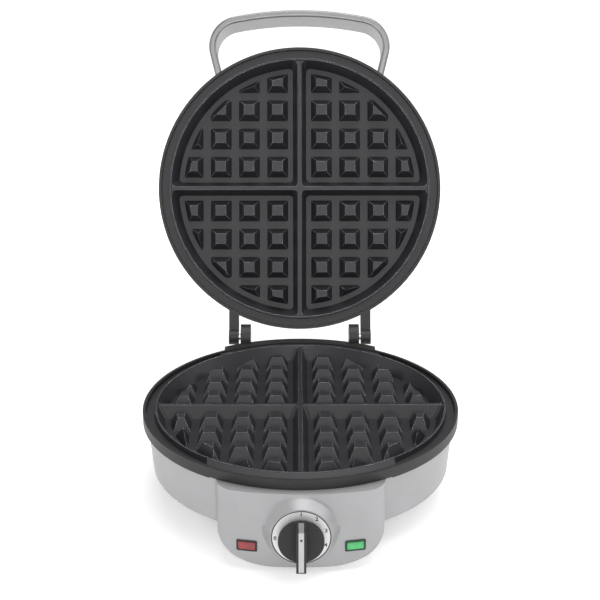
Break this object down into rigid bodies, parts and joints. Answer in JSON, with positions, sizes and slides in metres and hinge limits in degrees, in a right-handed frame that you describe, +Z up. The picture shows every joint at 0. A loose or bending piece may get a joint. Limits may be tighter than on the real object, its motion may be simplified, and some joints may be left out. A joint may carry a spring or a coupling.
{
  "type": "waffle maker",
  "caption": "Round countertop waffle maker with a hinged lid, studded grids in quarters, a loop handle and a control pod with a dial knob.",
  "frame": {"origin": "centre of the bottom cover's flat underside, under the cooking plates' axis", "axes": "+Z up, -Y towards the cook, +X to the cook's right"},
  "size_m": [0.248, 0.4279, 0.3397],
  "materials": {
    "base_housing": "satin silver",
    "bottom_cover": "fine texture",
    "rim": "fine texture",
    "grid": "non-stick coating, matt with a fine fleck",
    "element": "heat-darkened sheath",
    "sheet": "bright sheet",
    "screws": "zinc plated",
    "feet": "matt",
    "pins": "polished",
    "dial": "satin silver",
    "red_lens": "clear red",
    "green_lens": "clear green",
    "bezel": "black",
    "lamp": "clear",
    "thermostat": "ceramic and steel",
    "fuse": "satin",
    "terminal": "cream",
    "gland": "matt",
    "knob": "fine texture",
    "insert": "silver",
    "lid_cover": "brushed",
    "handle": "satin silver"
  },
  "bodies": {
    "base": {"base_housing": "base_housing", "bottom_cover": "bottom_cover", "lower_rim": "rim", "lower_grid": "grid", "lower_heating_element": "element", "lower_element_clamps": "sheet", "lower_clamp_screws": "screws", "lower_grid_screws": "screws", "lower_heat_reflector": "sheet", "tie_screws": "screws", "cover_screws": "screws", "rubber_feet": "feet", "hinge_pins": "pins", "dial_ring": "dial", "power_lens": "red_lens", "ready_lens": "green_lens", "lens_bezels": "bezel", "neon_lamps": "lamp", "thermostat": "thermostat", "thermal_fuse": "fuse", "terminal_block": "terminal", "cord_gland": "gland"},
    "knob": {"knob": "knob", "knob_insert": "insert", "thermostat_spindle": "pins"},
    "lid": {"lid_cover": "lid_cover", "upper_rim": "rim", "upper_grid": "grid", "upper_heating_element": "element", "upper_element_clamps": "sheet", "upper_clamp_screws": "screws", "upper_grid_screws": "screws", "upper_heat_reflector": "sheet", "upper_reflector_screws": "screws", "handle": "handle", "handle_screws": "screws"}
  },
  "joints": [
    {"name": "lid_hinge", "type": "hinge", "parent": "base", "child": "lid", "pos_m": [0, 0.131, 0.0703], "axis": [1, 0, 0], "range_deg": [0, 111.5]},
    {"name": "knob_turn", "type": "hinge", "parent": "base", "child": "knob", "pos_m": [0, -0.14, 0.0322], "axis": [0, 1, 0], "range_deg": [-92, 146]}
  ]
}
